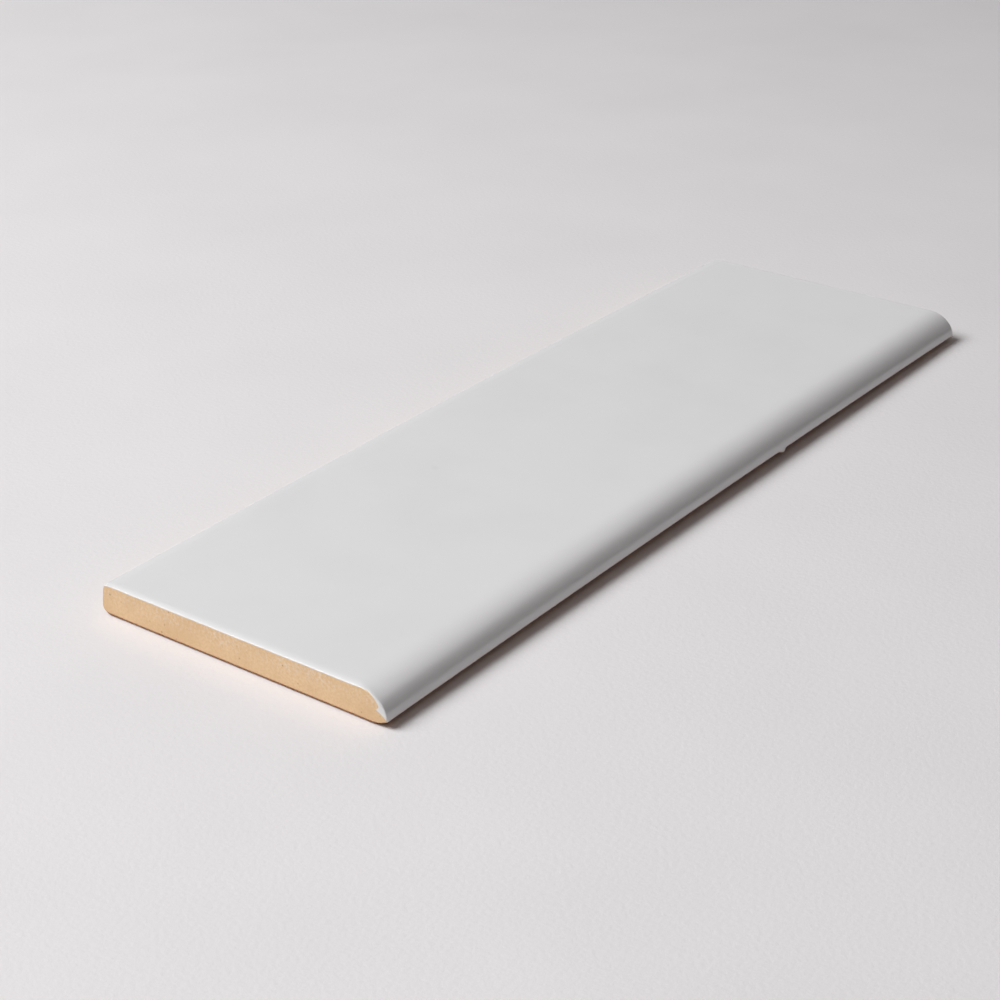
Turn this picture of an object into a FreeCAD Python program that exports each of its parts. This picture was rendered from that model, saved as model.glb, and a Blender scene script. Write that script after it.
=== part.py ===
import FreeCAD, Part
import math
import os

# Single bullnose wall tile: one pressed and fired piece, lying on its back.
# Origin at the middle of the back.
# +X along the tile, -Y towards the bullnose edge, +Z out of the glazed face.
# All lengths are in millimetres.

# Overall size
LENGTH = 305.0
WIDTH = 95.5
THICKNESS = 9.5

# Bullnose edge: a quarter ellipse from the face down to the toe,
# and below the toe an arc that eases into the back
NOSE_RUN = 10.0
TOE_HEIGHT = 2.4
TOE_RELIEF_RUN = 6.8
TOE_ARRIS = 0.4

# The other three edges: a small arris at the face and larger roundings at the back.
# The square long edge, which meets the field tile, leans in towards the face by the draft of the press die
FACE_ARRIS = 1.0
HEEL_ROUNDING = 3.5
END_ROUNDING = 2.5
EDGE_DRAFT_DEG = 9.0

# Keying grooves pressed into the back. They run along the tile and are closed at both ends
KEY_WIDTH = 4.0
KEY_DEPTH = 0.8
KEY_PITCH = 9.0
KEY_SIDE_MARGIN = 8.0
KEY_END_MARGIN = 14.0
KEY_DRAFT_DEG = 30.0

# Places that follow from the sizes
END_X = LENGTH / 2
TOE_Y = -WIDTH / 2
HEEL_Y = WIDTH / 2
FACE_NOSE_Y = TOE_Y + NOSE_RUN
BACK_TOE_Y = TOE_Y + TOE_RELIEF_RUN
EDGE_SLOPE = math.tan(math.radians(EDGE_DRAFT_DEG))
# The sharp heel lies outside HEEL_Y by as much as its rounding takes off again
SHARP_HEEL_Y = HEEL_Y + HEEL_ROUNDING * (math.hypot(1, EDGE_SLOPE) + EDGE_SLOPE - 1)
FACE_EDGE_Y = SHARP_HEEL_Y - THICKNESS * EDGE_SLOPE


def at(y, z):
    """A place of the cross-section, at the -X end of the tile."""
    return FreeCAD.Vector(-END_X, y, z)


def quarter_ellipse(start, corner, end):
    """Exact quarter ellipse that leaves start and reaches end along the two sides of the corner."""
    curve = Part.BezierCurve()
    curve.setPoles([start, corner, end])
    curve.setWeight(2, math.cos(math.pi / 4))
    return curve.toShape()


def toe_relief():
    """Arc from the toe down to the back, which it meets smoothly."""
    radius = (TOE_RELIEF_RUN ** 2 + TOE_HEIGHT ** 2) / (2 * TOE_HEIGHT)
    half_turn = math.atan2(TOE_RELIEF_RUN, radius - TOE_HEIGHT) / 2
    middle = at(BACK_TOE_Y - radius * math.sin(half_turn), radius - radius * math.cos(half_turn))
    return Part.Arc(at(TOE_Y, TOE_HEIGHT), middle, at(BACK_TOE_Y, 0)).toShape()


def cross_section():
    """The section across the tile, with its corners still sharp."""
    toe = at(TOE_Y, TOE_HEIGHT)
    face_nose = at(FACE_NOSE_Y, THICKNESS)
    face_edge = at(FACE_EDGE_Y, THICKNESS)
    heel = at(SHARP_HEEL_Y, 0)
    back_toe = at(BACK_TOE_Y, 0)
    return Part.Face(Part.Wire([
        quarter_ellipse(toe, at(TOE_Y, THICKNESS), face_nose),
        Part.makeLine(face_nose, face_edge),
        Part.makeLine(face_edge, heel),
        Part.makeLine(heel, back_toe),
        toe_relief(),
    ]))


def edge_through(solid, x, y, z):
    """The edge of the solid that passes through the given place."""
    place = Part.Vertex(x, y, z)
    return min(solid.Edges, key=lambda edge: edge.distToShape(place)[0])


def full_length_bar():
    """The cross-section run along the tile, with its three corners rounded."""
    bar = cross_section().extrude(FreeCAD.Vector(LENGTH, 0, 0))
    bar = bar.makeFillet(FACE_ARRIS, [edge_through(bar, 0, FACE_EDGE_Y, THICKNESS)])
    bar = bar.makeFillet(HEEL_ROUNDING, [edge_through(bar, 0, SHARP_HEEL_Y, 0)])
    return bar.makeFillet(TOE_ARRIS, [edge_through(bar, 0, TOE_Y, TOE_HEIGHT)])


def end_rounding():
    """Block, clear of the bar's long edges, that rounds both butt ends at the face and at the back."""
    block = Part.makeBox(LENGTH, 2 * WIDTH, THICKNESS, FreeCAD.Vector(-END_X, -WIDTH, 0))
    for end in (-END_X, END_X):
        block = block.makeFillet(FACE_ARRIS, [edge_through(block, end, 0, THICKNESS)])
        block = block.makeFillet(END_ROUNDING, [edge_through(block, end, 0, 0)])
    return block


def slot_outline(y, radius, z):
    """Round-ended slot along the tile, whose end arcs keep their centres for every radius."""
    run = END_X - KEY_END_MARGIN - KEY_WIDTH / 2
    near_left = FreeCAD.Vector(-run, y - radius, z)
    near_right = FreeCAD.Vector(run, y - radius, z)
    far_right = FreeCAD.Vector(run, y + radius, z)
    far_left = FreeCAD.Vector(-run, y + radius, z)
    return Part.Wire([
        Part.makeLine(near_left, near_right),
        Part.Arc(near_right, FreeCAD.Vector(run + radius, y, z), far_right).toShape(),
        Part.makeLine(far_right, far_left),
        Part.Arc(far_left, FreeCAD.Vector(-run - radius, y, z), near_left).toShape(),
    ])


def key_groove(y):
    """One keying groove, with walls that open towards the back."""
    mouth_radius = KEY_WIDTH / 2
    floor_radius = mouth_radius - KEY_DEPTH * math.tan(math.radians(KEY_DRAFT_DEG))
    mouth = slot_outline(y, mouth_radius, 0)
    floor = slot_outline(y, floor_radius, KEY_DEPTH)
    return Part.makeLoft([mouth, floor], True, True)


def key_rows():
    """Middle lines of the keying grooves, spread evenly over the flat of the back."""
    low = BACK_TOE_Y + KEY_SIDE_MARGIN + KEY_WIDTH / 2
    high = HEEL_Y - HEEL_ROUNDING - KEY_SIDE_MARGIN - KEY_WIDTH / 2
    gaps = int((high - low) / KEY_PITCH)
    first = (low + high - gaps * KEY_PITCH) / 2
    return [first + KEY_PITCH * row for row in range(gaps + 1)]


def bullnose_tile():
    """The bar with its ends rounded and its back grooved, as one solid."""
    tile = full_length_bar().common(end_rounding())
    tile = tile.cut([key_groove(y) for y in key_rows()])
    return tile.Solids[0]


tile = bullnose_tile()
os.makedirs("parts", exist_ok=True)
tile.exportStep("parts/bullnose_tile.step")

box = tile.optimalBoundingBox(True, False)
print("bullnose_tile valid", tile.isValid(), "volume", round(tile.Volume, 1))
print("size", round(box.XLength, 3), round(box.YLength, 3), round(box.ZLength, 3))
print("keying grooves at y", [round(y, 2) for y in key_rows()])
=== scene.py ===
import math

import bpy
import numpy as np
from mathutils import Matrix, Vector


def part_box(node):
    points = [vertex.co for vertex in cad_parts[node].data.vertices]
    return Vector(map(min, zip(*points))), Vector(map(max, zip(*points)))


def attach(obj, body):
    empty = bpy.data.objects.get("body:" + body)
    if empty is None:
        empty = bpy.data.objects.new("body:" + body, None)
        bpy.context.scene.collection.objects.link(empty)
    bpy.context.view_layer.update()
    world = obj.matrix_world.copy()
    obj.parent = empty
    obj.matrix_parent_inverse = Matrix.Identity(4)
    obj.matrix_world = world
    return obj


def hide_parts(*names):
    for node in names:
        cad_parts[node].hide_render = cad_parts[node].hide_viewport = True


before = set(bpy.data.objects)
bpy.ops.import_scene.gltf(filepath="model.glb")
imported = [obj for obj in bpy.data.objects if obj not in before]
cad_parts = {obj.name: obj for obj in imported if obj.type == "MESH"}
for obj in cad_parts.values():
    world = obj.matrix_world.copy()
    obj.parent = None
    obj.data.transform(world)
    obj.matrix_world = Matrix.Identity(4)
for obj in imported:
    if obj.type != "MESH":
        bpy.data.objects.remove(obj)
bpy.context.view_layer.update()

# One bullnose wall tile, white glaze over buff clay, lying on its back on a pale floor.
# The tile's sizes are in millimetres, as its section is. Places in the scene are in metres.
MM = 0.001
tile_low, tile_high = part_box("bullnose_tile")

# Outer size of the tile, from the frame
END_X = tile_high.x / MM
TOE_Y = tile_low.y / MM
HEEL_Y = tile_high.y / MM
THICKNESS = tile_high.z / MM
# The fired tile is a little bowed: its middle stands higher than its ends
CAMBER = 0.92

# Section: bullnose, relief under the toe, small arris at the face, rounded heel
NOSE_RUN = 10.0
NOSE_FULLNESS = 1.03
TOE_HEIGHT = 2.25
RELIEF_RUN = 6.8
TOE_ARRIS = 0.4
ARRIS_RUN = 1.2
ARRIS_DROP = 1.7
HEEL_ROUNDING = 2.6
EDGE_DRAFT_DEG = 6.5
# The face falls gently towards the square edge
PILLOW_RUN = 3.4
PILLOW_DROP = 0.32
FACE_NOSE_Y = TOE_Y + NOSE_RUN
BACK_TOE_Y = TOE_Y + RELIEF_RUN

# Roundings of the butt ends: run along the tile and drop across the end
END_BACK_RUN = 1.35
END_BACK_DROP = 1.1
NEAR_FACE_RUN = 2.3
NEAR_FACE_DROP = 0.6
FAR_FACE_RUN = 0.8
FAR_FACE_DROP = 0.4
END_NOSE_ROUNDING = 0.35
END_SIDE_ROUNDING = 0.25
END_HEEL_RUN = 0.9
END_HEEL_DROP = 0.7

# Keying grooves in the back, closed at both ends
KEY_WIDTH = 4.0
KEY_DEPTH = 0.8
KEY_PITCH = 9.0
KEY_TOE_MARGIN = 8.0
KEY_HEEL_MARGIN = 11.5
KEY_END_MARGIN = 14.0
KEY_DRAFT_DEG = 30.0
KEY_SOFTENING = 0.25

# The flat field of an end lies inside its roundings and inside the lap of the glaze
FIELD_FACE_INSET = 1.5
FIELD_BACK_INSET = 2.9
FIELD_NOSE_INSET = 4.6
FIELD_NOSE_SHIFT = 0.3
FIELD_TOE_Z = 3.6
FIELD_TOE_CUT = 0.3
FIELD_RELIEF_SHIFT = 0.6
FIELD_SIDE_INSET = 1.2
FIELD_SIDE_LEAN = 0.35
FIELD_ARRIS = 0.6
FIELD_HEEL = 2.0

# Glaze: its bead along the edge, its swell over the face, its lap on the ends
BEAD_HEIGHT = 0.06
BEAD_RISE = 0.10
BEAD_STEP = 0.3
BEAD_FADE = 1.1
SWELL_HEIGHT = 0.05
SWELL_FADE = 7.0
TOE_THINNING = 3.5
LAP_FOOT = 0.10
FACE_LAP = 0.62
FACE_LAP_WAVER = 0.06
# Waves of the swell: length and phase, along the tile and across it, each a little askew
SWELL_ALONG = ((61.0, 0.4), (37.0, 2.1))
SWELL_ACROSS = ((43.0, 1.3), (23.0, 4.0))
SWELL_SKEW_ALONG = 0.4
SWELL_SKEW_ACROSS = 0.3
# Waves of the lap: length, and how many times the end's own phase
LAP_WAVES = ((17.0, 1), (6.3, 2), (2.9, 5))
NEAR_LAP_PHASE = 0.7
FAR_LAP_PHASE = 1.9
# Lap along the nose, by angle from the toe up to the face.
# The near end has a tooth of glaze low on the nose
LAP_ANGLES_DEG = (0, 4, 9, 12, 15, 19, 22, 27, 33, 40, 50, 60, 65, 72, 90)
NEAR_LAP = (0.12, 1.2, 2.1, 3.0, 3.1, 2.5, 2.0, 1.35, 1.3, 1.1, 0.7, 0.3, 0.15, 0.4, 0.62)
FAR_LAP = (0.12, 0.5, 0.8, 0.9, 1.0, 1.1, 1.2, 1.3, 1.3, 1.2, 0.9, 0.5, 0.4, 0.45, 0.62)

# Drip of glaze that hangs from the toe
DRIP_X = 37.0
DRIP_HANG = 0.95
DRIP_LEAN = 0.2
DRIP_LONG_SIDE = 1.8
DRIP_SHORT_SIDE = 0.8
DRIP_CLIMB = 1.6

# Steps that the section is divided into, in order from the toe
TOE_STEPS = 4
NOSE_STEPS = 28
ARRIS_STEPS = 12
SIDE_STEPS = 14
HEEL_STEPS = 14
RELIEF_STEPS = 8
RELIEF_CROWDING = 1.8
GROOVE_LINES = 11
# Steps of the nose, next to the face, where the rim grows and where the lap wavers
NOSE_RIM_STEPS = 10
NOSE_WAVER_STEPS = 4
# Steps of the arris that stay bare
BARE_ARRIS_STEPS = 3

# Loops round the tile: those of an end's rim, and those between the ends
CORNER_RINGS = 4
LAP_RINGS = 9
BARE_CORNER_RINGS = 8
RINGS = 15
END_STATIONS = 5
STATIONS = 236
STATION_SAMPLES = 4001
STATION_END_ROOM = 2.0
# Loops crowd at the ends of the grooves and at the drip
STATION_CROWDING = 2.5
GROOVE_END_INSET = 1.0
GROOVE_CROWD_RUN = 2.5
DRIP_CROWD_RUN = 4.0

# Materials of the tile's mesh by number, and its attribute for the way to the edge of the glaze
GLAZED = 0
BARE = 1
INSET_NAME = "glaze_inset"
INSET_LIMIT = 5.0
TINY = 1e-6


def smooth(low, high, value):
    """0 below low, 1 above high, and an even rise between them."""
    share = np.clip((value - low) / (high - low), 0, 1)
    return share * share * (3 - 2 * share)


def arc(centre, radii, first_deg, last_deg, steps):
    """Points on an arc or a part of an ellipse, without its last one."""
    turn = np.radians(np.linspace(first_deg, last_deg, steps, endpoint=False))
    return np.column_stack([centre[0] + radii[0] * np.cos(turn), centre[1] + radii[1] * np.sin(turn)])


def nose_curve(centre, radii, first_deg):
    """Points from the toe up to the face, on a curve a little fuller than an ellipse."""
    turn = np.radians(np.linspace(first_deg, 90, NOSE_STEPS, endpoint=False))
    back = np.cos(turn) ** (1 / NOSE_FULLNESS)
    up = np.sin(turn) ** (1 / NOSE_FULLNESS)
    return np.column_stack([centre[0] - radii[0] * back, centre[1] + radii[1] * up])


def straight(first, last, steps):
    """Points on a straight line, without its last one."""
    share = np.linspace(0, 1, steps, endpoint=False)[:, None]
    return np.array(first) * (1 - share) + np.array(last) * share


def key_rows():
    """Middle lines of the keying grooves, from the heel to the toe."""
    low = BACK_TOE_Y + KEY_TOE_MARGIN + KEY_WIDTH / 2
    high = HEEL_Y - KEY_HEEL_MARGIN - KEY_WIDTH / 2
    gaps = int((high - low) / KEY_PITCH)
    first = (low + high + gaps * KEY_PITCH) / 2
    return [first - KEY_PITCH * row for row in range(gaps + 1)]


KEY_ROWS = key_rows()
KEY_MOUTH = KEY_WIDTH / 2
KEY_FLOOR = KEY_MOUTH - KEY_DEPTH * math.tan(math.radians(KEY_DRAFT_DEG))

# Where each part of the section begins. The face and the back have as many steps
FACE_STEPS = len(KEY_ROWS) * (GROOVE_LINES + 1)
NOSE_AT = TOE_STEPS
FACE_AT = NOSE_AT + NOSE_STEPS
ARRIS_AT = FACE_AT + FACE_STEPS
SIDE_AT = ARRIS_AT + ARRIS_STEPS
HEEL_AT = SIDE_AT + SIDE_STEPS
BACK_AT = HEEL_AT + HEEL_STEPS
RELIEF_AT = BACK_AT + FACE_STEPS
POINTS = RELIEF_AT + RELIEF_STEPS
# The glaze goes from the underside of the toe to low on the arris of the square edge
GLAZE_LAST = SIDE_AT - BARE_ARRIS_STEPS


def back_lines(heel_y):
    """Lines along the back: close together over each groove, and one on the land between two."""
    half = np.linspace(KEY_MOUTH + KEY_SOFTENING, KEY_FLOOR - KEY_SOFTENING, GROOVE_LINES // 2)
    across = np.concatenate([half, [0.0], -half[::-1]])
    lines = [heel_y]
    for row in KEY_ROWS:
        lines.extend(row + across)
        lines.append(row - KEY_PITCH / 2)
    return np.array(lines[:-1])


def outer_outline():
    """The section in y and z, from the underside of the toe over the face and round the back."""
    draft = math.radians(EDGE_DRAFT_DEG)
    slope = math.tan(draft)
    lean = 1 / math.cos(draft)
    edge_way = np.array([math.cos(draft), math.sin(draft)])
    sharp_heel = HEEL_Y + HEEL_ROUNDING * (lean + slope - 1)
    arris_turn = math.atan(ARRIS_DROP / ARRIS_RUN * slope)
    arris_foot_z = THICKNESS - ARRIS_DROP * (1 - math.sin(arris_turn))
    arris_foot = np.array([sharp_heel - arris_foot_z * slope, arris_foot_z])
    arris = np.array([arris_foot[0] - ARRIS_RUN * math.cos(arris_turn), THICKNESS - ARRIS_DROP])
    heel = np.array([sharp_heel - HEEL_ROUNDING * (slope + lean), HEEL_ROUNDING])
    relief_radius = (RELIEF_RUN ** 2 + TOE_HEIGHT ** 2) / (2 * TOE_HEIGHT)
    relief_turn = math.degrees(math.asin(RELIEF_RUN / relief_radius))
    toe_turn = 90 - relief_turn
    toe_lift = TOE_ARRIS * math.tan(math.radians(toe_turn / 2))
    toe = np.array([TOE_Y + TOE_ARRIS, TOE_HEIGHT + toe_lift])
    nose_radii = (NOSE_RUN, THICKNESS - TOE_HEIGHT)
    nose_start = math.degrees(math.asin((toe_lift / nose_radii[1]) ** NOSE_FULLNESS))
    relief_trim = math.degrees(toe_lift / relief_radius)
    # The relief's points crowd towards the toe, where the glaze ends
    relief_share = 1 - (1 - np.linspace(0, 1, RELIEF_STEPS, endpoint=False)) ** RELIEF_CROWDING
    relief_angle = np.radians(-90 - relief_share * (relief_turn - relief_trim))
    back_y = back_lines(heel[0])
    return np.concatenate([
        arc(toe, (TOE_ARRIS, TOE_ARRIS), 180 + toe_turn, 180, TOE_STEPS),
        nose_curve((FACE_NOSE_Y, TOE_HEIGHT), nose_radii, nose_start),
        straight((FACE_NOSE_Y, THICKNESS), (arris[0], THICKNESS), FACE_STEPS),
        arc(arris, (ARRIS_RUN, ARRIS_DROP), 90, math.degrees(arris_turn), ARRIS_STEPS),
        straight(arris_foot, heel + HEEL_ROUNDING * edge_way, SIDE_STEPS),
        arc(heel, (HEEL_ROUNDING, HEEL_ROUNDING), EDGE_DRAFT_DEG, -90, HEEL_STEPS),
        np.column_stack([back_y, np.zeros(FACE_STEPS)]),
        np.column_stack([BACK_TOE_Y + relief_radius * np.cos(relief_angle),
                         relief_radius + relief_radius * np.sin(relief_angle)]),
    ])


def field_outline(outer):
    """Outline of the flat field of an end, with the same steps as the section."""
    face_z = THICKNESS - FIELD_FACE_INSET
    side_y = HEEL_Y - FIELD_SIDE_INSET
    nose_y = FACE_NOSE_Y + FIELD_NOSE_SHIFT
    toe_y = TOE_Y + FIELD_NOSE_INSET
    relief_y = BACK_TOE_Y + FIELD_RELIEF_SHIFT
    heel = np.array([side_y - FIELD_HEEL, FIELD_BACK_INSET + FIELD_HEEL])
    arris = np.array([side_y - FIELD_SIDE_LEAN - FIELD_ARRIS, face_z - FIELD_ARRIS])
    draft = math.radians(EDGE_DRAFT_DEG)
    edge_way = np.array([math.cos(draft), math.sin(draft)])
    back_share = np.interp(outer[BACK_AT:RELIEF_AT, 0], [BACK_TOE_Y, outer[BACK_AT, 0]], [1, 0])
    back_y = heel[0] + (relief_y - heel[0]) * back_share
    toe_start = np.array([toe_y + FIELD_TOE_CUT, FIELD_TOE_Z - FIELD_TOE_CUT])
    return np.concatenate([
        straight(toe_start, (toe_y, FIELD_TOE_Z), TOE_STEPS),
        arc((nose_y, FIELD_TOE_Z), (nose_y - toe_y, face_z - FIELD_TOE_Z), 180, 90, NOSE_STEPS),
        straight((nose_y, face_z), (arris[0], face_z), FACE_STEPS),
        arc(arris, (FIELD_ARRIS, FIELD_ARRIS), 90, EDGE_DRAFT_DEG, ARRIS_STEPS),
        straight(arris + FIELD_ARRIS * edge_way, heel + FIELD_HEEL * edge_way, SIDE_STEPS),
        arc(heel, (FIELD_HEEL, FIELD_HEEL), EDGE_DRAFT_DEG, -90, HEEL_STEPS),
        np.column_stack([back_y, np.full(FACE_STEPS, FIELD_BACK_INSET)]),
        straight((relief_y, FIELD_BACK_INSET), toe_start, RELIEF_STEPS),
    ])


def outward_normals(outline):
    """Unit normals of a closed outline that runs clockwise."""
    along = np.roll(outline, -1, axis=0) - np.roll(outline, 1, axis=0)
    normal = np.column_stack([-along[:, 1], along[:, 0]])
    return normal / np.linalg.norm(normal, axis=1)[:, None]


def section_way(outer):
    """Way along the section to each of its points."""
    steps = np.linalg.norm(np.diff(outer, axis=0), axis=1)
    return np.concatenate([[0], np.cumsum(steps)])


def waver(place, waves):
    """Mean of slow waves, each given as a length and a phase; from about -1 to 1."""
    return sum(np.sin(2 * math.pi * place / length + phase) for length, phase in waves) / len(waves)


def rim_roundings(face_run, face_drop):
    """Rounding of an end's rim at each point of the section: run along the tile, drop across the end."""
    places, runs, drops = zip(
        (0, END_NOSE_ROUNDING, END_NOSE_ROUNDING),
        (FACE_AT - NOSE_RIM_STEPS, END_NOSE_ROUNDING, END_NOSE_ROUNDING),
        (FACE_AT, face_run, face_drop),
        (ARRIS_AT, face_run, face_drop),
        (SIDE_AT, END_SIDE_ROUNDING, END_SIDE_ROUNDING),
        (HEEL_AT, END_SIDE_ROUNDING, END_SIDE_ROUNDING),
        ((HEEL_AT + BACK_AT) // 2, END_HEEL_RUN, END_HEEL_DROP),
        (BACK_AT, END_BACK_RUN, END_BACK_DROP),
        (RELIEF_AT, END_BACK_RUN, END_BACK_DROP),
        (POINTS, END_NOSE_ROUNDING, END_NOSE_ROUNDING),
    )
    column = np.arange(POINTS)
    return np.interp(column, places, runs), np.interp(column, places, drops)


def glaze_lap(outer, nose_lap, phase):
    """How far the glaze laps onto an end at each point of the section."""
    lap = np.full(POINTS, FACE_LAP)
    lap[:NOSE_AT] = nose_lap[0]
    angle = np.linspace(0, 90, NOSE_STEPS, endpoint=False)
    lap[NOSE_AT:FACE_AT] = np.interp(angle, LAP_ANGLES_DEG, nose_lap)
    ripple = waver(outer[:, 0], [(length, multiple * phase) for length, multiple in LAP_WAVES])
    return lap + FACE_LAP_WAVER * ripple * (np.arange(POINTS) >= FACE_AT - NOSE_WAVER_STEPS)


def corner_length(run, drop):
    """Way round the corner of the rim."""
    return math.pi / 2 * np.sqrt((run ** 2 + drop ** 2) / 2)


def rim_reach(inward, run, drop):
    """Way along the rim's surface to a place that lies the given distance inward."""
    turn = np.arccos(1 - np.clip(inward / drop, 0, 1))
    return corner_length(run, drop) * turn / (math.pi / 2) + np.maximum(inward - drop, 0)


def glaze_swell(x, y):
    """Gentle unevenness of the glaze over the face."""
    along = waver(x + SWELL_SKEW_ALONG * y, SWELL_ALONG)
    across = waver(y - SWELL_SKEW_ACROSS * x, SWELL_ACROSS)
    return (along + across) / 2


def bead(distance):
    """Height of the glaze's bead at a distance from its edge, where it starts with a small step."""
    rise = 1 - np.exp(-(np.maximum(distance, 0) + BEAD_STEP * BEAD_RISE) / BEAD_RISE)
    return BEAD_HEIGHT * rise * np.exp(-(distance / BEAD_FADE) ** 2)


def groove_depth(x, y):
    """Depth of the keying grooves at a place of the back."""
    run = END_X - KEY_END_MARGIN - KEY_MOUTH
    past_end = np.maximum(np.abs(x) - run, 0)
    nearest = np.min([np.hypot(past_end, y - row) for row in KEY_ROWS], axis=0)
    rounding = KEY_SOFTENING / 2
    return KEY_DEPTH * (1 - smooth(KEY_FLOOR - rounding, KEY_MOUTH + rounding, nearest))


def stations():
    """Places along the tile, closer together at the ends of the grooves and at the drip."""
    limit = END_X - END_BACK_RUN - STATION_END_ROOM
    x = np.linspace(-limit, limit, STATION_SAMPLES)
    groove_end = END_X - KEY_END_MARGIN - GROOVE_END_INSET
    at_grooves = np.exp(-((np.abs(x) - groove_end) / GROOVE_CROWD_RUN) ** 2)
    at_drip = np.exp(-((x - DRIP_X) / DRIP_CROWD_RUN) ** 2)
    density = 1 + STATION_CROWDING * (at_grooves + at_drip)
    passed = np.concatenate([[0], np.cumsum((density[1:] + density[:-1]) / 2)])
    return np.interp(np.linspace(0, passed[-1], STATIONS), passed, x)


def edge_pillow(outer):
    """How far the face has fallen at each point of the section, towards the square edge."""
    fall = np.clip(1 - (outer[ARRIS_AT, 0] - outer[:, 0]) / PILLOW_RUN, 0, 1) ** 2
    fall[:FACE_AT] = 0
    fall[SIDE_AT:HEEL_AT] = np.linspace(1, 0, SIDE_STEPS)
    fall[HEEL_AT:] = 0
    return PILLOW_DROP * fall


def tile_tube(outer, roundings, laps):
    """The long surface of the tile between its ends: places, and way to the edge of the glaze."""
    base = stations()
    share = (np.arange(END_STATIONS) / END_STATIONS)[:, None]
    near_rounding, far_rounding = roundings
    near_end = -END_X + near_rounding[0]
    far_end = END_X - far_rounding[0]
    near = near_end * (1 - share) + base[0] * share
    far = far_end * (1 - share) + base[-1] * share
    x = np.concatenate([near, np.repeat(base[:, None], POINTS, axis=1), far[::-1]])
    y = np.repeat(outer[None, :, 0], len(x), axis=0)
    z = np.repeat(outer[None, :, 1], len(x), axis=0)

    along = section_way(outer)
    to_near = x - near_end + rim_reach(laps[0], *near_rounding)
    to_far = far_end - x + rim_reach(laps[1], *far_rounding)
    to_long_edge = np.minimum(along, along[GLAZE_LAST] - along)
    way = np.minimum(np.minimum(to_near, to_far), to_long_edge)
    way[:, GLAZE_LAST + 1:] = -1

    normal = outward_normals(outer)
    swell = SWELL_HEIGHT * glaze_swell(x, y) * smooth(0, SWELL_FADE, way)
    raised = np.where(way >= 0, bead(way) + swell, 0)
    y = y + raised * normal[:, 0]
    z = z + raised * normal[:, 1]
    z -= edge_pillow(outer)
    z[:, BACK_AT:RELIEF_AT] += groove_depth(x, y)[:, BACK_AT:RELIEF_AT]

    side = np.where(x < DRIP_X, DRIP_LONG_SIDE, DRIP_SHORT_SIDE)
    climb = np.where(np.arange(POINTS) < FACE_AT, np.exp(-(along / DRIP_CLIMB) ** 2), 0)
    drip = DRIP_HANG * np.exp(-((x - DRIP_X) / side) ** 2) * climb
    z -= drip
    y -= DRIP_LEAN * drip
    return np.stack([x, y, z], axis=2), np.minimum(way, along / TOE_THINNING)


def loop_reaches(rings, reaches):
    """Ways along the rim for all its loops, even between the given ones."""
    loops = []
    for ring in range(RINGS + 1):
        upper = next(step for step in range(1, len(rings)) if ring <= rings[step])
        share = (ring - rings[upper - 1]) / (rings[upper] - rings[upper - 1])
        loops.append(reaches[upper - 1] * (1 - share) + reaches[upper] * share)
    return np.array(loops)


def tile_rim(outer, field, rounding, lap, end):
    """Loops from the long surface to the field of one end: places, and way to the edge of the glaze."""
    run, drop = rounding
    inward_way = field - outer
    room = np.linalg.norm(inward_way, axis=1)
    inward_way = inward_way / room[:, None]
    corner = corner_length(run, drop)
    total = rim_reach(room, run, drop)
    lap_reach = rim_reach(lap, run, drop)
    foot = lap_reach + LAP_FOOT
    first = np.minimum(corner, lap_reach * CORNER_RINGS / LAP_RINGS)
    zero = np.zeros(POINTS)
    glazed_rings = [0, CORNER_RINGS, LAP_RINGS, LAP_RINGS + 1, RINGS]
    glazed = loop_reaches(glazed_rings, [zero, first, lap_reach, foot, total])
    bare = loop_reaches([0, BARE_CORNER_RINGS, RINGS], [zero, corner, total])
    column = np.arange(POINTS)
    reach = np.where((column <= GLAZE_LAST + 1) | (column == POINTS - 1), glazed, bare)

    turn = np.minimum(reach / corner, 1) * math.pi / 2
    inward = drop * (1 - np.cos(turn)) + np.maximum(reach - corner, 0)
    behind = run * (1 - np.sin(turn))
    along = section_way(outer)
    way = np.minimum(lap_reach - reach, np.minimum(along, along[GLAZE_LAST] - along))
    way[:, GLAZE_LAST + 1:] = -1
    raised = np.where(way >= -TINY, bead(way), 0)
    out_face = run * np.cos(turn)
    out_end = drop * np.sin(turn)
    size = np.hypot(out_face, out_end)
    x = end * (END_X - behind + raised * out_end / size)
    offset = inward - raised * out_face / size
    y = outer[:, 0] + inward_way[:, 0] * offset
    z = outer[:, 1] + inward_way[:, 1] * offset - edge_pillow(outer) * (1 - reach / total)
    return np.stack([x, y, z], axis=2), way


def field_grid(loop):
    """Grid over the flat field of an end, held by the loop round it: vertex numbers and new places."""
    wide = FACE_STEPS
    high = BACK_AT - ARRIS_AT
    top = np.arange(FACE_AT, ARRIS_AT + 1)
    right = np.arange(ARRIS_AT, BACK_AT + 1)
    bottom = np.arange(BACK_AT, RELIEF_AT + 1)[::-1]
    left = (np.arange(RELIEF_AT, POINTS + FACE_AT + 1) % POINTS)[::-1]
    u = np.linspace(0, 1, wide + 1)[:, None, None]
    v = np.linspace(0, 1, high + 1)[None, :, None]
    corners = (1 - u) * (1 - v) * loop[top[0]] + u * (1 - v) * loop[top[-1]]
    corners = corners + (1 - u) * v * loop[bottom[0]] + u * v * loop[bottom[-1]]
    places = (1 - v) * loop[top][:, None] + v * loop[bottom][:, None]
    places = places + (1 - u) * loop[left][None] + u * loop[right][None] - corners
    numbers = np.full((wide + 1, high + 1), -1)
    numbers[:, 0] = top
    numbers[:, -1] = bottom
    numbers[0, :] = left
    numbers[-1, :] = right
    return numbers, places[1:-1, 1:-1].reshape(-1, 3)


def grid_cells(numbers):
    """The four-sided cells of a grid of vertex numbers."""
    corners = [numbers[:-1, :-1], numbers[1:, :-1], numbers[1:, 1:], numbers[:-1, 1:]]
    return np.stack(corners, axis=2).reshape(-1, 4)


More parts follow.
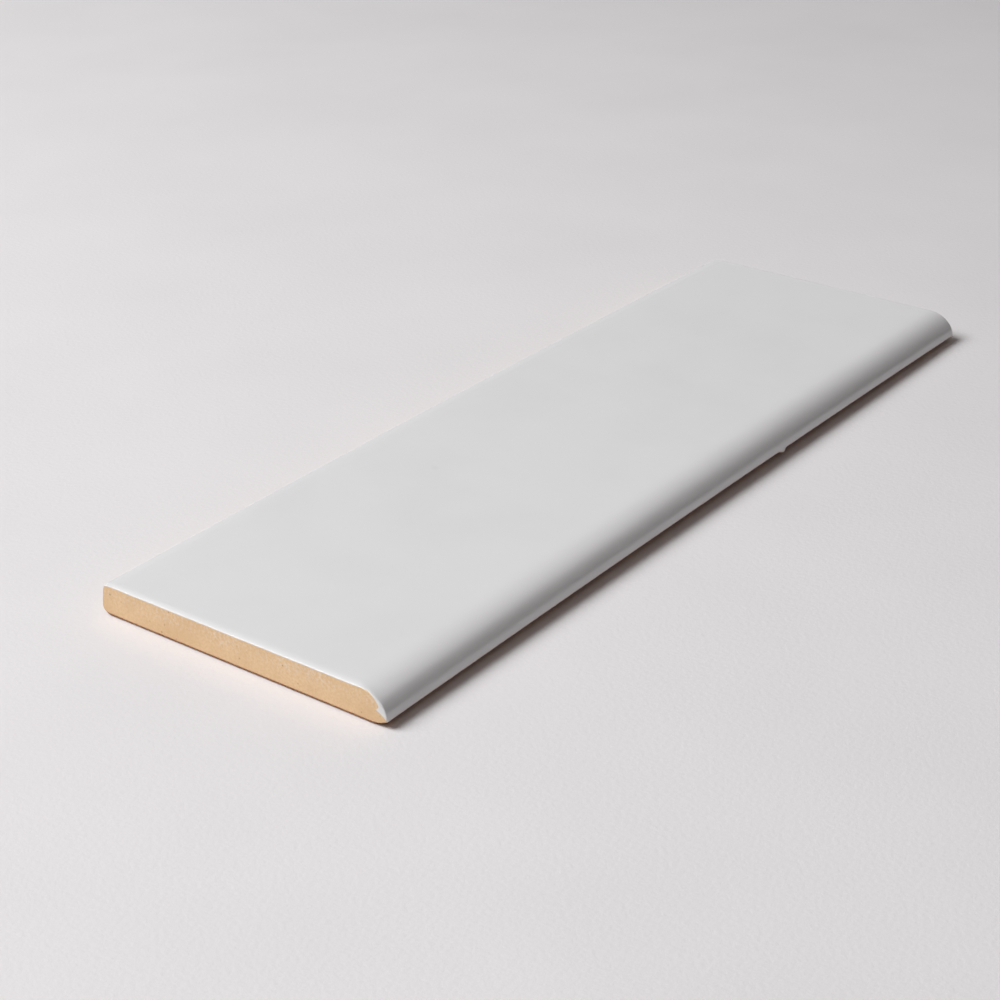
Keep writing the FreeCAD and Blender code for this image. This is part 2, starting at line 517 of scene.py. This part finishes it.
def loop_cells(count):
    """The four-sided cells between the loops, and the number of each one's material."""
    row = np.arange(count - 1)[:, None]
    column = np.arange(POINTS)[None]
    here = row * POINTS + column
    beside = row * POINTS + (column + 1) % POINTS
    cells = np.stack([here, here + POINTS, beside + POINTS, beside], axis=2)
    first_glazed = RINGS - LAP_RINGS - 1
    glazed_rows = (row >= first_glazed) & (row < count - 1 - first_glazed)
    glazed_columns = (column <= GLAZE_LAST) | (column == POINTS - 1)
    paint = np.where(glazed_rows & glazed_columns, GLAZED, BARE)
    return cells.reshape(-1, 4), paint.reshape(-1)


def make_tile(name, materials):
    """The whole tile as one closed mesh. Its first material is the glaze, its second the bare clay."""
    outer = outer_outline()
    field = field_outline(outer)
    near_rounding = rim_roundings(NEAR_FACE_RUN, NEAR_FACE_DROP)
    far_rounding = rim_roundings(FAR_FACE_RUN, FAR_FACE_DROP)
    near_lap = glaze_lap(outer, NEAR_LAP, NEAR_LAP_PHASE)
    far_lap = glaze_lap(outer, FAR_LAP, FAR_LAP_PHASE)
    tube, tube_way = tile_tube(outer, (near_rounding, far_rounding), (near_lap, far_lap))
    near, near_way = tile_rim(outer, field, near_rounding, near_lap, -1)
    far, far_way = tile_rim(outer, field, far_rounding, far_lap, 1)
    loops = np.concatenate([near[:0:-1], tube, far[1:]])
    ways = np.concatenate([near_way[:0:-1], tube_way, far_way[1:]])
    count = len(loops)

    cells, paint = loop_cells(count)
    places = [loops.reshape(-1, 3)]
    faces = [cells]
    paints = [paint]
    free = count * POINTS
    for loop_row, flip in ((0, False), (count - 1, True)):
        numbers, inner = field_grid(loops[loop_row])
        numbers = np.where(numbers >= 0, numbers + loop_row * POINTS, numbers)
        numbers[1:-1, 1:-1] = free + np.arange(len(inner)).reshape(numbers[1:-1, 1:-1].shape)
        free += len(inner)
        cells = grid_cells(numbers)
        faces.append(cells[:, ::-1] if flip else cells)
        places.append(inner)
        paints.append(np.full(len(cells), BARE))

    places = np.concatenate(places)
    places[:, 2] += CAMBER * (1 - np.clip(places[:, 0] / END_X, -1, 1) ** 2)
    mesh = bpy.data.meshes.new(name)
    mesh.from_pydata((places * MM).tolist(), [], np.concatenate(faces).tolist())
    for material in materials:
        mesh.materials.append(material)
    mesh.polygons.foreach_set("material_index", np.concatenate(paints))
    inset = mesh.attributes.new(INSET_NAME, "FLOAT", "POINT")
    values = np.zeros(len(mesh.vertices), np.float32)
    values[:count * POINTS] = np.clip(ways.reshape(-1), 0, INSET_LIMIT)
    inset.data.foreach_set("value", values)
    mesh.shade_smooth()
    mesh.update()
    tile = bpy.data.objects.new(name, mesh)
    bpy.context.scene.collection.objects.link(tile)
    return tile


# Sockets of a mix node that take and give colours
MIX_SHARE = 0
MIX_FIRST = 6
MIX_SECOND = 7
MIX_RESULT = 2


def add_node(tree, kind, inputs=None, **settings):
    """A shader node with its settings, whose inputs are values or other nodes' outputs."""
    made = tree.nodes.new(kind)
    for key, value in settings.items():
        setattr(made, key, value)
    for socket, value in (inputs or {}).items():
        if isinstance(value, bpy.types.NodeSocket):
            tree.links.new(value, made.inputs[socket])
        else:
            made.inputs[socket].default_value = value
    return made


def new_material(name):
    """A plain material: itself, its node tree, its surface shader and the object's own coordinates."""
    material = bpy.data.materials.new(name)
    material.use_nodes = True
    tree = material.node_tree
    shader = tree.nodes["Principled BSDF"]
    place = tree.nodes.new("ShaderNodeTexCoord").outputs["Object"]
    return material, tree, shader, place


def noise(tree, place, scale, detail=3.0, roughness=0.5):
    """A cloudy pattern, mostly between 0.3 and 0.7."""
    inputs = {"Vector": place, "Scale": scale, "Detail": detail, "Roughness": roughness}
    return add_node(tree, "ShaderNodeTexNoise", inputs).outputs["Fac"]


def spread(tree, value, span, levels=(0, 1), rise="LINEAR"):
    """Maps a value from a span to two levels, held at both ends."""
    low, high = span
    to_low, to_high = levels
    inputs = {"Value": value, "From Min": low, "From Max": high, "To Min": to_low, "To Max": to_high}
    return add_node(tree, "ShaderNodeMapRange", inputs, interpolation_type=rise).outputs["Result"]


def blend(tree, share, first, second):
    """Mixes two colours."""
    inputs = {MIX_SHARE: share, MIX_FIRST: first, MIX_SECOND: second}
    return add_node(tree, "ShaderNodeMix", inputs, data_type="RGBA").outputs[MIX_RESULT]


def combine(tree, operation, first, second):
    """Two numbers joined by an operation."""
    return add_node(tree, "ShaderNodeMath", {0: first, 1: second}, operation=operation).outputs["Value"]


def times(tree, first, second):
    """Product of two numbers."""
    return combine(tree, "MULTIPLY", first, second)


def largest(tree, first, second):
    """The larger of two numbers."""
    return combine(tree, "MAXIMUM", first, second)


def roughen(tree, shader, height, strength, depth):
    """Gives a surface the fine bumps of a pattern."""
    bump = add_node(tree, "ShaderNodeBump", {"Height": height, "Strength": strength, "Distance": depth})
    tree.links.new(bump.outputs["Normal"], shader.inputs["Normal"])


# White glaze, a little cloudy, and thin and warm at its edge.
# A span says where a pattern starts and where it is full
GLAZE = (0.69, 0.69, 0.696, 1)
GLAZE_IOR = 1.8
GLAZE_CLOUD = (0.672, 0.672, 0.68, 1)
CLOUD_SCALE = 34
CLOUD_DETAIL = 4.0
CLOUD_SPAN = (0.45, 0.7)
GLAZE_THIN = (0.80, 0.62, 0.48, 1)
THIN_SPAN = (0.0, 0.22)
THIN_LEVELS = (0.8, 0)
GLOSS_SCALE = 60
GLOSS_SPAN = (0.3, 0.7)
GLOSS_ROUGHNESS = (0.17, 0.22)
PEEL_SCALE = 420
PEEL_DETAIL = 2.0
PEEL_STRENGTH = 0.05
PEEL_DEPTH = 0.2 * MM
# One faint mark on the face
SPECK = (0.30, 0.30, 0.30, 1)
SPECK_PLACE = (-47.9 * MM, 19.0 * MM, (THICKNESS + CAMBER) * MM)
SPECK_SPAN = (0.3 * MM, 1.6 * MM)
SPECK_LEVELS = (0.08, 0)


def glaze_material():
    """The glaze of the face, the nose and the laps on the ends."""
    material, tree, shader, place = new_material("white_glaze")
    cloud = spread(tree, noise(tree, place, CLOUD_SCALE, CLOUD_DETAIL), CLOUD_SPAN)
    colour = blend(tree, cloud, GLAZE, GLAZE_CLOUD)
    from_speck = {0: place, 1: SPECK_PLACE}
    away = add_node(tree, "ShaderNodeVectorMath", from_speck, operation="DISTANCE").outputs["Value"]
    colour = blend(tree, spread(tree, away, SPECK_SPAN, SPECK_LEVELS), colour, SPECK)
    inset = add_node(tree, "ShaderNodeAttribute", attribute_name=INSET_NAME).outputs["Fac"]
    colour = blend(tree, spread(tree, inset, THIN_SPAN, THIN_LEVELS), colour, GLAZE_THIN)
    tree.links.new(colour, shader.inputs["Base Color"])
    gloss = spread(tree, noise(tree, place, GLOSS_SCALE), GLOSS_SPAN, GLOSS_ROUGHNESS)
    tree.links.new(gloss, shader.inputs["Roughness"])
    roughen(tree, shader, noise(tree, place, PEEL_SCALE, PEEL_DETAIL), PEEL_STRENGTH, PEEL_DEPTH)
    shader.inputs["IOR"].default_value = GLAZE_IOR
    return material


# Bare buff clay of uneven tone
CLAY = (0.77, 0.551, 0.332, 1)
CLAY_ROUGHNESS = 0.85
CLAY_SPECULAR = 0.25
CLAY_DARK = (0.643, 0.424, 0.234, 1)
TONE_SCALE = 110
TONE_DETAIL = 4.0
TONE_SPAN = (0.35, 0.7)
TONE_LEVELS = (0, 0.6)
# Pale flecks, in patches, mostly in the upper half of the ends
CLAY_PALE = (0.79, 0.69, 0.58, 1)
FLECK_STRETCH = (1200, 1100, 950)
FLECK_DETAIL = 4.0
FLECK_ROUGHNESS = 0.65
FLECK_SPAN = (0.44, 0.66)
FLECK_LEVELS = (0, 0.75)
FLECK_HEIGHTS = (3.5 * MM, 6.5 * MM)
FLECK_HEIGHT_LEVELS = (0.08, 1)
PATCH_SCALE = 90
PATCH_DETAIL = 2.0
PATCH_SPAN = (0.42, 0.58)
PATCH_LEVELS = (0.5, 1)
# Painted shade: the lower edge of the ends and the underside of the toe are painted dark red-brown, for
# the shade under them
CLAY_PAINTED_SHADE = (0.31, 0.10, 0.03, 1)
PAINTED_SHADE_SHARE = 0.95
PAINTED_SHADE_END_SPAN = ((END_X - 2.2) * MM, (END_X - 1.4) * MM)
PAINTED_SHADE_HEIGHTS = (0.9 * MM, 1.15 * MM)
PAINTED_SHADE_TOE_SPAN = ((BACK_TOE_Y - 1.0) * MM, (BACK_TOE_Y + 0.5) * MM)
PAINTED_SHADE_TOE_ENDS = ((END_X - 1.0) * MM, (END_X - 0.4) * MM)
# Grit all over, and a few small pits
GRIT_SCALE = 1500
GRIT_SPAN = (0.35, 0.7)
GRIT_LEVELS = (0, 0.55)
GRIT_STRENGTH = 0.5
GRIT_DEPTH = 0.12 * MM
PIT = (0.42, 0.25, 0.13, 1)
PIT_SCALE = 420
PIT_SPAN = (0.05, 0.16)
PIT_LEVELS = (0.8, 0)
PIT_PATCH_SCALE = 240
PIT_PATCH_SPAN = (0.5, 0.58)


def clay_material():
    """The bare clay of the ends, the square edge and the back, with painted shade along the ends' lower
    edges and under the toe.
    """
    material, tree, shader, place = new_material("buff_clay")
    tone = spread(tree, noise(tree, place, TONE_SCALE, TONE_DETAIL), TONE_SPAN, TONE_LEVELS)
    colour = blend(tree, tone, CLAY, CLAY_DARK)
    parts = add_node(tree, "ShaderNodeSeparateXYZ", {"Vector": place}).outputs
    height = parts["Z"]
    aside = add_node(tree, "ShaderNodeMath", {0: parts["X"]}, operation="ABSOLUTE").outputs["Value"]

    stretch = {0: place, 1: FLECK_STRETCH}
    stretched = add_node(tree, "ShaderNodeVectorMath", stretch, operation="MULTIPLY").outputs["Vector"]
    grains = noise(tree, stretched, 1, FLECK_DETAIL, FLECK_ROUGHNESS)
    fleck = spread(tree, grains, FLECK_SPAN, FLECK_LEVELS)
    upper = spread(tree, height, FLECK_HEIGHTS, FLECK_HEIGHT_LEVELS)
    patch = spread(tree, noise(tree, place, PATCH_SCALE, PATCH_DETAIL), PATCH_SPAN, PATCH_LEVELS)
    colour = blend(tree, times(tree, times(tree, fleck, upper), patch), colour, CLAY_PALE)

    # Painted shade in dark red-brown along the lower edge of the ends and under the toe
    shade_at_end = spread(tree, aside, PAINTED_SHADE_END_SPAN, (0, PAINTED_SHADE_SHARE))
    shaded_lower_edge = times(tree, shade_at_end, spread(tree, height, PAINTED_SHADE_HEIGHTS, (1, 0)))
    shade_at_toe = spread(tree, parts["Y"], PAINTED_SHADE_TOE_SPAN, (PAINTED_SHADE_SHARE, 0))
    shaded_under_toe = times(tree, shade_at_toe, spread(tree, aside, PAINTED_SHADE_TOE_ENDS, (1, 0)))
    colour = blend(tree, largest(tree, shaded_lower_edge, shaded_under_toe), colour, CLAY_PAINTED_SHADE)

    grit = noise(tree, place, GRIT_SCALE)
    colour = blend(tree, spread(tree, grit, GRIT_SPAN, GRIT_LEVELS), colour, CLAY_DARK)
    cells = add_node(tree, "ShaderNodeTexVoronoi", {"Vector": place, "Scale": PIT_SCALE})
    pit_patch = spread(tree, noise(tree, place, PIT_PATCH_SCALE), PIT_PATCH_SPAN)
    pit = times(tree, spread(tree, cells.outputs["Distance"], PIT_SPAN, PIT_LEVELS), pit_patch)
    colour = blend(tree, pit, colour, PIT)
    tree.links.new(colour, shader.inputs["Base Color"])
    roughen(tree, shader, combine(tree, "SUBTRACT", grit, pit), GRIT_STRENGTH, GRIT_DEPTH)
    shader.inputs["Roughness"].default_value = CLAY_ROUGHNESS
    shader.inputs["Specular IOR Level"].default_value = CLAY_SPECULAR
    return material


# Pale backdrop: the camera sees it beyond the floor, the gloss reflects it on one side and overhead
BACKDROP = (0.63, 0.625, 0.64, 1)
BACKDROP_WAY = (0.60, 0.77, 0.22)
BACKDROP_SPAN = (0.5, 0.85)
BACKDROP_TOP = (1.0, 0.995, 1.0, 1)
BACKDROP_TOP_SPAN = (0.58, 0.72)
# Faint even light from all round
AMBIENT = (0.084, 0.076, 0.073, 1)

# Pale paper floor with a fine grain
FLOOR = (0.737, 0.722, 0.736, 1)
FLOOR_SHADE = (0.715, 0.701, 0.715, 1)
FLOOR_ROUGHNESS = 0.95
FLOOR_SPECULAR = 0.15
MOTTLE_SCALE = 14
MOTTLE_SPAN = (0.35, 0.7)
GRAIN_SCALE = 700
GRAIN_STRENGTH = 0.3
GRAIN_DEPTH = 0.3 * MM
FLOOR_SIDE = 60.0
# Far from the tile the floor runs into the backdrop, for what is seen and not for the light
FLOOR_FADE = (0.7, 1.4)


def make_floor():
    """The floor that the tile lies on."""
    material, tree, shader, place = new_material("pale_paper")
    mottle = spread(tree, noise(tree, place, MOTTLE_SCALE), MOTTLE_SPAN)
    tree.links.new(blend(tree, mottle, FLOOR, FLOOR_SHADE), shader.inputs["Base Color"])
    roughen(tree, shader, noise(tree, place, GRAIN_SCALE), GRAIN_STRENGTH, GRAIN_DEPTH)
    shader.inputs["Roughness"].default_value = FLOOR_ROUGHNESS
    shader.inputs["Specular IOR Level"].default_value = FLOOR_SPECULAR
    path = tree.nodes.new("ShaderNodeLightPath").outputs
    seen = largest(tree, path["Is Camera Ray"], path["Is Glossy Ray"])
    away = add_node(tree, "ShaderNodeVectorMath", {0: place}, operation="LENGTH").outputs["Value"]
    far = times(tree, seen, spread(tree, away, FLOOR_FADE, rise="SMOOTHSTEP"))
    backdrop = add_node(tree, "ShaderNodeEmission", {"Color": BACKDROP}).outputs["Emission"]
    surface = add_node(tree, "ShaderNodeMixShader", {0: far, 1: shader.outputs["BSDF"], 2: backdrop})
    tree.links.new(surface.outputs["Shader"], tree.nodes["Material Output"].inputs["Surface"])
    half = FLOOR_SIDE / 2
    corners = [(-half, -half, 0), (half, -half, 0), (half, half, 0), (-half, half, 0)]
    mesh = bpy.data.meshes.new("floor")
    mesh.from_pydata(corners, [], [(0, 1, 2, 3)])
    mesh.materials.append(material)
    floor = bpy.data.objects.new("floor", mesh)
    bpy.context.scene.collection.objects.link(floor)


# Camera: place in millimetres, heading from +X towards +Y, angle below level
CAMERA_PLACE = (-490.3, -328.2, 278.7)
CAMERA_HEADING_DEG = 36.22
CAMERA_DIP_DEG = 26.37
CAMERA_ROLL_DEG = 0.145
CAMERA_NEAR = 0.01
LENS = 78.0
SENSOR = 36.0

# Soft light from the left of the picture
KEY_WAY = (-0.465, 0.475, 0.747)
KEY_DISTANCE = 2.3
KEY_SIZE = 1.3
KEY_POWER = 64.0
# Share of it that the gloss mirrors, from a little nearer
KEY_SHEEN = 0.2
KEY_SHEEN_DISTANCE = 2.28
# Weak light from the camera's side
FILL_WAY = (-0.55, -0.42, 0.72)
FILL_DISTANCE = 1.3
FILL_SIZE = 0.9
FILL_POWER = 1.4
FILL_TINT = (1.0, 0.95, 0.92)


def make_camera():
    """The camera, which looks down along the tile from its near end."""
    heading = math.radians(CAMERA_HEADING_DEG)
    dip = math.radians(CAMERA_DIP_DEG)
    level = math.cos(dip)
    ahead = Vector((math.cos(heading) * level, math.sin(heading) * level, -math.sin(dip)))
    data = bpy.data.cameras.new("camera")
    data.lens = LENS
    data.sensor_width = SENSOR
    data.clip_start = CAMERA_NEAR
    camera = bpy.data.objects.new("camera", data)
    camera.location = Vector(CAMERA_PLACE) * MM
    camera.rotation_euler = ahead.to_track_quat("-Z", "Y").to_euler()
    camera.rotation_euler.rotate_axis("Z", math.radians(CAMERA_ROLL_DEG))
    bpy.context.scene.collection.objects.link(camera)
    bpy.context.scene.camera = camera


def make_lamp(name, way, distance, size, power, tint=(1, 1, 1), mirrored=True):
    """A square lamp that faces the tile, and that the gloss may mirror."""
    way = Vector(way).normalized()
    data = bpy.data.lights.new(name, "AREA")
    data.shape = "SQUARE"
    data.size = size
    data.energy = power
    data.color = tint
    lamp = bpy.data.objects.new(name, data)
    lamp.location = way * distance
    lamp.visible_glossy = mirrored
    lamp.rotation_euler = (-way).to_track_quat("-Z", "Y").to_euler()
    bpy.context.scene.collection.objects.link(lamp)


def make_world():
    """The even light, with the pale backdrop for the camera and for the gloss."""
    world = bpy.data.worlds.new("studio")
    world.use_nodes = True
    tree = world.node_tree
    path = tree.nodes.new("ShaderNodeLightPath").outputs
    way = tree.nodes.new("ShaderNodeTexCoord").outputs["Generated"]
    ways = {0: way, 1: BACKDROP_WAY}
    facing = add_node(tree, "ShaderNodeVectorMath", ways, operation="DOT_PRODUCT").outputs["Value"]
    mirrored = times(tree, path["Is Glossy Ray"], spread(tree, facing, BACKDROP_SPAN))
    seen = largest(tree, path["Is Camera Ray"], mirrored)
    height = add_node(tree, "ShaderNodeSeparateXYZ", {"Vector": way}).outputs["Z"]
    above = times(tree, path["Is Glossy Ray"], spread(tree, height, BACKDROP_TOP_SPAN))
    colour = blend(tree, above, blend(tree, seen, AMBIENT, BACKDROP), BACKDROP_TOP)
    tree.links.new(colour, tree.nodes["Background"].inputs["Color"])
    bpy.context.scene.world = world


tile = make_tile("glazed_tile", (glaze_material(), clay_material()))
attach(tile, "root")
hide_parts("bullnose_tile")
make_floor()
make_camera()
make_lamp("key", KEY_WAY, KEY_DISTANCE, KEY_SIZE, KEY_POWER * (1 - KEY_SHEEN), mirrored=False)
make_lamp("key_sheen", KEY_WAY, KEY_SHEEN_DISTANCE, KEY_SIZE, KEY_POWER * KEY_SHEEN)
make_lamp("fill", FILL_WAY, FILL_DISTANCE, FILL_SIZE, FILL_POWER, FILL_TINT)
make_world()
bpy.context.scene.view_settings.view_transform = "Standard"
